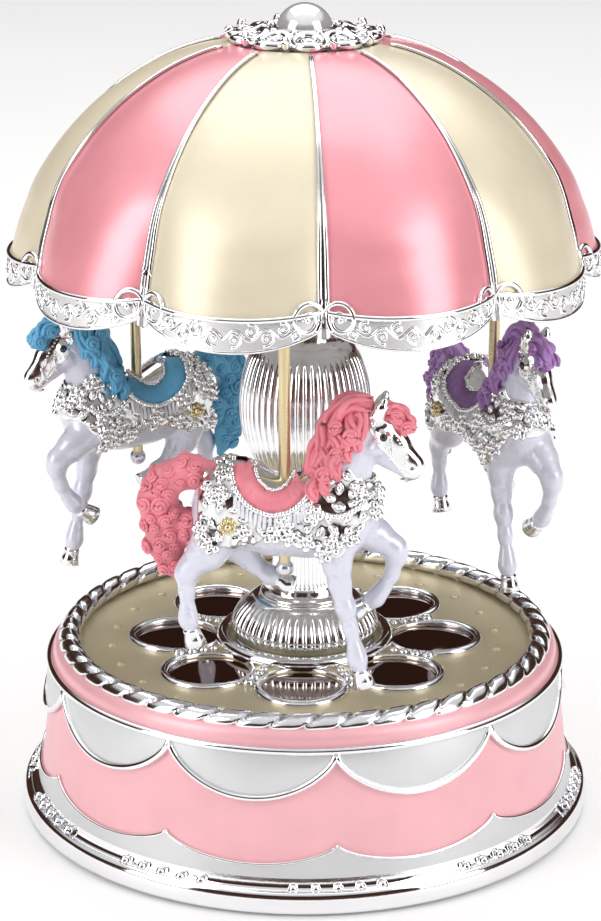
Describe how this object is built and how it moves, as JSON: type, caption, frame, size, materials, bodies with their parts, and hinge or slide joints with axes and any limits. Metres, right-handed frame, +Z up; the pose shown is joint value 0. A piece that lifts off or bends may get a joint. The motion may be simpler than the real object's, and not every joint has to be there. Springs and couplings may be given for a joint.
{
  "type": "carousel music box",
  "caption": "Wind-up carousel music box: a drum with the clockwork, a fluted column, and an umbrella canopy that turns with horses hanging on poles.",
  "frame": {"origin": "centre of the rubber feet's underside, on the axis of the carousel", "axes": "+Z up along the carousel's axis; -Y towards the front, +X to the right seen from the front"},
  "size_m": [0.1104, 0.1104, 0.155],
  "materials": {
    "foot_chrome": "vacuum-plated, polished",
    "drum_pink": "satin lacquer",
    "deck_beige": "satin metallic lacquer",
    "smoked_mirror": "polished, smoked",
    "trim_silver": "vacuum-plated, satin",
    "column_silver": "vacuum-plated, polished",
    "canopy_panels": "satin lacquer, pink and beige gores",
    "canopy_silver": "vacuum-plated, polished",
    "finial_silver": "vacuum-plated, polished",
    "pole_gold": "champagne plated",
    "horse_pink": "pearl lacquer, plated harness, pink mane, tail and saddle",
    "horse_purple": "pearl lacquer, plated harness, purple mane, tail and saddle",
    "horse_blue": "pearl lacquer, plated harness, blue mane, tail and saddle",
    "cover_plastic": "matte",
    "foot_rubber": "matte",
    "screw_steel": "satin",
    "bush_plastic": "matte",
    "shaft_steel": "polished",
    "hub_plastic": "matte",
    "cast_zinc": "die-cast, matte",
    "gear_brass": "satin",
    "spring_steel": "blued, satin",
    "comb_steel": "satin",
    "key_steel": "satin, plated",
    "fan_plastic": "matte"
  },
  "bodies": {
    "base": {"base_ring": "foot_chrome", "drum_wall": "drum_pink", "deck_plate": "deck_beige", "mirror_inlays": "smoked_mirror", "deck_trim_ring": "trim_silver", "bottom_cover": "cover_plastic", "cover_screws": "screw_steel", "rubber_feet": "foot_rubber", "movement_screws": "screw_steel", "column_collar": "column_silver", "column_foot": "column_silver", "column_neck": "column_silver", "column_bulb": "column_silver", "column_cap": "column_silver", "lower_bush": "bush_plastic", "upper_bush": "bush_plastic", "bedplate": "cast_zinc", "click_screw": "screw_steel", "music_comb": "comb_steel", "comb_screws": "screw_steel", "train_cock": "gear_brass", "governor_bracket": "gear_brass", "bracket_screws": "screw_steel"},
    "carousel": {"spring_barrel": "gear_brass", "mainspring": "spring_steel", "barrel_cover": "gear_brass", "drive_shaft": "shaft_steel", "canopy_dome": "canopy_panels", "canopy_band": "canopy_silver", "canopy_ribs": "canopy_silver", "canopy_hub": "hub_plastic", "hub_nut": "screw_steel", "finial_rosette": "finial_silver", "finial_ball": "finial_silver", "pole_front": "pole_gold", "pole_ball_front": "pole_gold", "pole_right": "pole_gold", "pole_ball_right": "pole_gold", "pole_left": "pole_gold", "pole_ball_left": "pole_gold"},
    "winding": {"winding_arbor": "shaft_steel", "winding_key": "key_steel", "ratchet_wheel": "screw_steel"},
    "click": {"click": "screw_steel", "click_spring": "spring_steel"},
    "tune_cylinder": {"music_cylinder": "gear_brass", "cylinder_arbor": "shaft_steel", "cylinder_pinion": "gear_brass"},
    "intermediate": {"intermediate_wheel": "gear_brass"},
    "governor": {"governor_fan": "fan_plastic"},
    "horse_front": {"horse_front": "horse_pink"},
    "horse_right": {"horse_right": "horse_purple"},
    "horse_left": {"horse_left": "horse_blue"}
  },
  "joints": [
    {"name": "carousel_spin", "type": "hinge", "parent": "base", "child": "carousel", "pos_m": [0, 0, 0.1], "axis": [0, 0, 1], "continuous": true},
    {"name": "winding_key_turn", "type": "hinge", "parent": "base", "child": "winding", "pos_m": [0, 0, 0.008], "axis": [0, 0, 1], "continuous": true},
    {"name": "click_lift", "type": "hinge", "parent": "base", "child": "click", "pos_m": [0.0061, 0.0058, 0.0108], "axis": [0, 0, 1], "range_deg": [-14, 0], "stiffness_Nm_per_rad": 0.0001},
    {"name": "tune_cylinder_spin", "type": "hinge", "parent": "base", "child": "tune_cylinder", "pos_m": [0.027, 0, 0.022], "axis": [1, 0, 0], "continuous": true},
    {"name": "intermediate_spin", "type": "hinge", "parent": "base", "child": "intermediate", "pos_m": [-0.01387, -0.01163, 0.012], "axis": [0, 0, 1], "continuous": true},
    {"name": "governor_spin", "type": "hinge", "parent": "base", "child": "governor", "pos_m": [-0.01773, -0.02225, 0.017], "axis": [0, 0, 1], "continuous": true},
    {"name": "horse_front_swivel", "type": "hinge", "parent": "carousel", "child": "horse_front", "pos_m": [-0.00353, -0.04035, 0.075], "axis": [0, 0, 1], "continuous": true},
    {"name": "horse_right_swivel", "type": "hinge", "parent": "carousel", "child": "horse_right", "pos_m": [0.03671, 0.01712, 0.075], "axis": [0, 0, 1], "continuous": true},
    {"name": "horse_left_swivel", "type": "hinge", "parent": "carousel", "child": "horse_left", "pos_m": [-0.03318, 0.02323, 0.075], "axis": [0, 0, 1], "continuous": true}
  ],
  "couplings": [
    {"joint": "tune_cylinder_spin", "follows": "carousel_spin", "ratio": 3},
    {"joint": "intermediate_spin", "follows": "carousel_spin", "ratio": -5},
    {"joint": "governor_spin", "follows": "carousel_spin", "ratio": 30}
  ]
}
